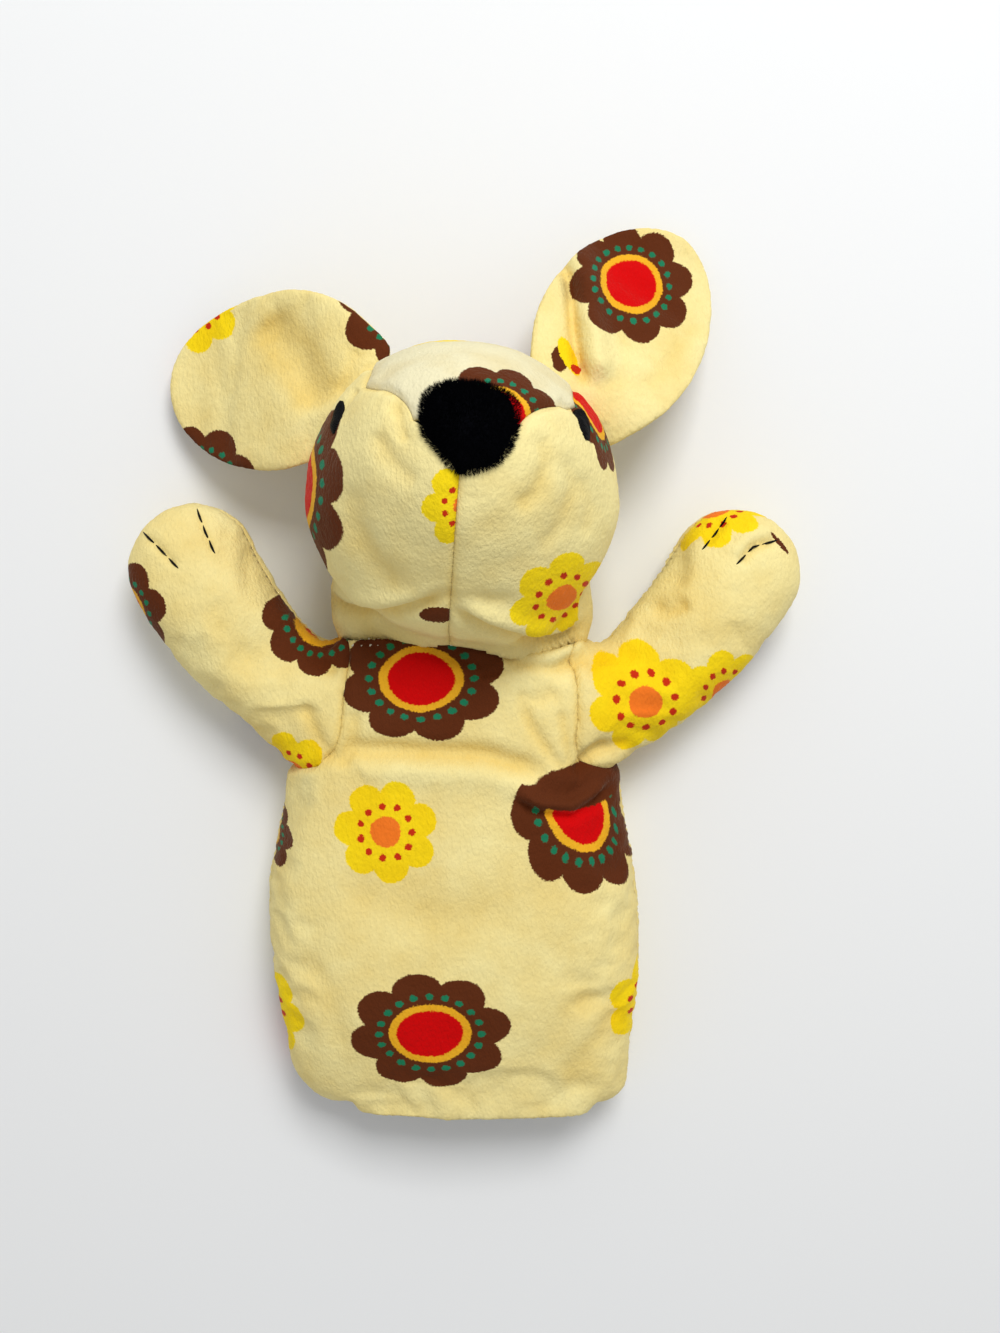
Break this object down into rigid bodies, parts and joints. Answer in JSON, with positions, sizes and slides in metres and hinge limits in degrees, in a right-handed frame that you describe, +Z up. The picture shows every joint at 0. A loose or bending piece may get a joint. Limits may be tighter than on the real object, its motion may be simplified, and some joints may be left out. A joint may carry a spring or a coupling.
{
  "type": "dog hand puppet",
  "caption": "Soft dog hand puppet in flower-print plush, open at the hem for a hand, with a stuffed head, floppy ears and hollow arms.",
  "frame": {"origin": "middle of the bounding box, on the surface that the puppet lies on", "axes": "+Y from the hem to the head, +Z up out of the puppet's front, +X to its left hand, which is the viewer's right"},
  "size_m": [0.2198, 0.2956, 0.101],
  "materials": {
    "plush": "short pile, cream with flower print",
    "brow_plush": "short pile, pale cream",
    "black_plush": "furry pile",
    "black_thread": "satin",
    "filling": "loose fibre",
    "lining": "woven"
  },
  "bodies": {
    "root": {"body_front": "plush", "body_back": "plush", "left_arm_front": "plush", "left_arm_back": "plush", "right_arm_front": "plush", "right_arm_back": "plush", "head_left": "plush", "head_right": "plush", "head_gusset": "brow_plush", "nose": "black_plush", "left_eye": "black_thread", "right_eye": "black_thread", "left_ear_front": "plush", "left_ear_back": "plush", "right_ear_front": "plush", "right_ear_back": "plush", "left_toe_stitch_inner": "black_thread", "left_toe_stitch_outer": "black_thread", "right_toe_stitch_inner": "black_thread", "right_toe_stitch_outer": "black_thread", "head_filling": "filling", "finger_pocket": "lining"}
  },
  "joints": []
}
